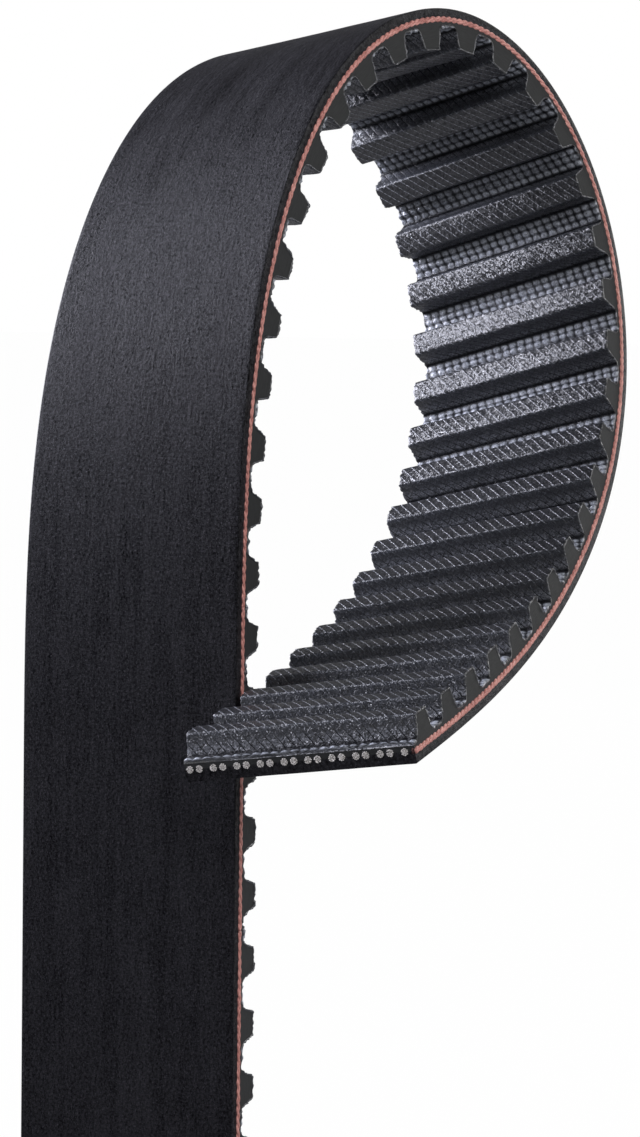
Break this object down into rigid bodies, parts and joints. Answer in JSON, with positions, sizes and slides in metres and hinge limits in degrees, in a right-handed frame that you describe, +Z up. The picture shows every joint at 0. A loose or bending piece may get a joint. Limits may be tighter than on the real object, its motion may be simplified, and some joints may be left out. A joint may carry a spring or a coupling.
{
  "type": "timing belt",
  "caption": "Cut-open rubber timing belt coiled in one loose turn, with rounded teeth, nylon tooth facing, smooth back and exposed tensile cords at the cut end.",
  "frame": {"origin": "centre of the straight strand's smooth back face, halfway along that strand, at the middle of the belt's width", "axes": "+Z up the straight strand; +X from the smooth back towards the teeth; +Y across the width, away from the edge with the exposed cord"},
  "size_m": [0.0954, 0.0627, 0.1477],
  "materials": {
    "backing": "satin charcoal black with a fine fibrous grain and faint lengthwise rubbing",
    "tooth_rubber": "matte dark grey sliced rubber",
    "facing": "tight twill-woven nylon, dark blue-grey, slightly shiny threads",
    "cord": "twisted glass-fibre cord, pale grey-tan at the cut ends",
    "edge_cord": "adhesive-dipped copper-red twisted cord, shaved open along the sliced edge"
  },
  "bodies": {
    "lower_strand": {"backing_rubber_0": "backing", "tooth_rubber_0": "tooth_rubber", "nylon_facing_0": "facing", "cord_ply_0": "cord", "edge_cord_0": "edge_cord"},
    "strand_top": {"backing_rubber_1": "backing", "tooth_rubber_1": "tooth_rubber", "nylon_facing_1": "facing", "cord_ply_1": "cord", "edge_cord_1": "edge_cord"},
    "shoulder": {"backing_rubber_2": "backing", "tooth_rubber_2": "tooth_rubber", "nylon_facing_2": "facing", "cord_ply_2": "cord", "edge_cord_2": "edge_cord"},
    "crown_rise": {"backing_rubber_3": "backing", "tooth_rubber_3": "tooth_rubber", "nylon_facing_3": "facing", "cord_ply_3": "cord", "edge_cord_3": "edge_cord"},
    "crown": {"backing_rubber_4": "backing", "tooth_rubber_4": "tooth_rubber", "nylon_facing_4": "facing", "cord_ply_4": "cord", "edge_cord_4": "edge_cord"},
    "crown_fall": {"backing_rubber_5": "backing", "tooth_rubber_5": "tooth_rubber", "nylon_facing_5": "facing", "cord_ply_5": "cord", "edge_cord_5": "edge_cord"},
    "return_run": {"backing_rubber_6": "backing", "tooth_rubber_6": "tooth_rubber", "nylon_facing_6": "facing", "cord_ply_6": "cord", "edge_cord_6": "edge_cord"},
    "cut_end": {"backing_rubber_7": "backing", "tooth_rubber_7": "tooth_rubber", "nylon_facing_7": "facing", "tensile_cord_01": "cord", "tensile_cord_02": "cord", "tensile_cord_03": "cord", "tensile_cord_04": "cord", "tensile_cord_05": "cord", "tensile_cord_06": "cord", "tensile_cord_07": "cord", "tensile_cord_08": "cord", "tensile_cord_09": "cord", "tensile_cord_10": "cord", "tensile_cord_11": "cord", "tensile_cord_12": "cord", "tensile_cord_13": "cord", "tensile_cord_14": "cord", "tensile_cord_15": "cord", "tensile_cord_16": "cord", "tensile_cord_17": "cord", "tensile_cord_18": "cord", "tensile_cord_19": "cord", "edge_cord_7": "edge_cord"}
  },
  "joints": [
    {"name": "flex_1", "type": "hinge", "parent": "lower_strand", "child": "strand_top", "pos_m": [0.0015, 0, 0.028], "axis": [0, 1, 0], "range_deg": [-1.7, 0.15], "stiffness_Nm_per_rad": 1.2},
    {"name": "flex_2", "type": "hinge", "parent": "strand_top", "child": "shoulder", "pos_m": [0.00291, -0.00002, 0.05994], "axis": [0.0418, 0.9991, -0.0028], "range_deg": [-11.05, 0.97], "stiffness_Nm_per_rad": 1.2},
    {"name": "flex_3", "type": "hinge", "parent": "shoulder", "child": "crown_rise", "pos_m": [0.01242, -0.00053, 0.09029], "axis": [0.1416, 0.9893, -0.035], "range_deg": [-17, 1.5], "stiffness_Nm_per_rad": 1.2},
    {"name": "flex_4", "type": "hinge", "parent": "crown_rise", "child": "crown", "pos_m": [0.03472, -0.00334, 0.1123], "axis": [0.2225, 0.9674, -0.1209], "range_deg": [-32.01, 0], "stiffness_Nm_per_rad": 1.2},
    {"name": "flex_5", "type": "hinge", "parent": "crown", "child": "crown_fall", "pos_m": [0.064, -0.01114, 0.10978], "axis": [0.208, 0.9481, -0.2403], "range_deg": [-44, 0], "stiffness_Nm_per_rad": 1.2},
    {"name": "flex_6", "type": "hinge", "parent": "crown_fall", "child": "return_run", "pos_m": [0.07203, -0.02063, 0.08194], "axis": [0.104, 0.956, -0.2743], "range_deg": [-32.01, 0], "stiffness_Nm_per_rad": 1.2},
    {"name": "flex_7", "type": "hinge", "parent": "return_run", "child": "cut_end", "pos_m": [0.04892, -0.02758, 0.05116], "axis": [0.011, 0.9771, -0.2126], "range_deg": [-20, 2], "stiffness_Nm_per_rad": 1.2}
  ],
  "couplings": [
    {"joint": "flex_1", "follows": "flex_3", "ratio": 0.1},
    {"joint": "flex_2", "follows": "flex_3", "ratio": 0.65},
    {"joint": "flex_4", "follows": "flex_5", "ratio": 0.7273},
    {"joint": "flex_6", "follows": "flex_5", "ratio": 0.7273}
  ]
}
